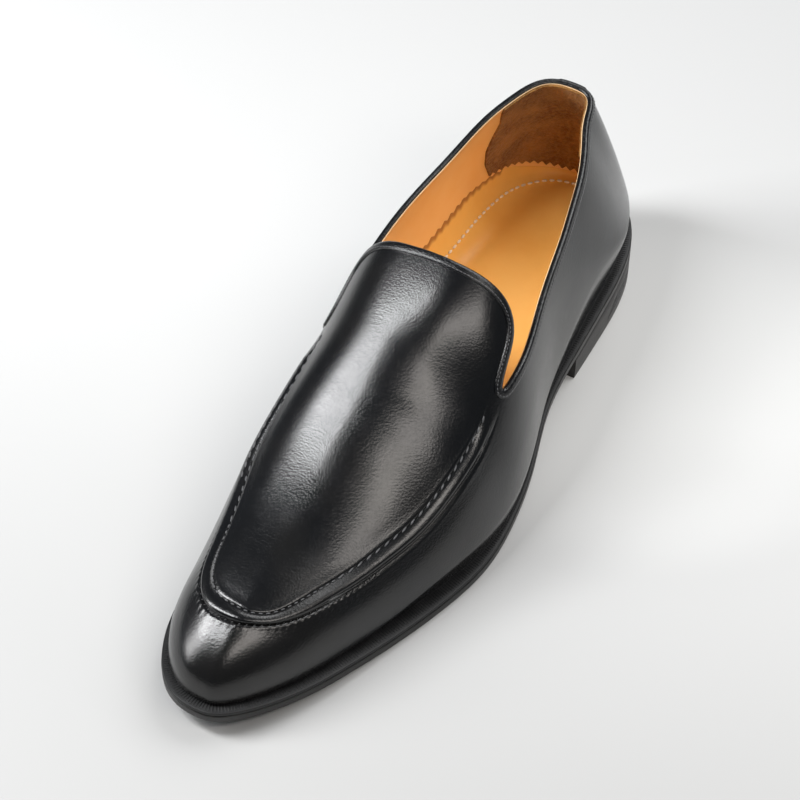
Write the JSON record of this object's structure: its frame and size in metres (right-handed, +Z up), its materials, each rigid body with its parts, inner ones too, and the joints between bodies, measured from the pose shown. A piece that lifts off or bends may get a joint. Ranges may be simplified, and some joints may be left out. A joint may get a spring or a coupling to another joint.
{
  "type": "leather loafer",
  "caption": "Black calf slip-on shoe with a long tongue, raised apron seam, bound collar, tan lining and insole, welted sole and low heel.",
  "frame": {"origin": "middle of the part's length and width, on the floor under the sole", "axes": "+Z up from the floor, +Y from the toe back toward the heel, +X toward the lateral (outer) side of the foot"},
  "size_m": [0.0979, 0.304, 0.0972],
  "materials": {
    "calf": "polished black calf",
    "lining": "smooth tan leather",
    "sole": "stained and waxed black edge"
  },
  "bodies": {
    "root": {"upper": "calf", "collar_binding": "calf", "tongue_binding": "calf", "insole": "lining", "welt": "sole", "outsole": "sole", "heel": "sole"}
  },
  "joints": []
}
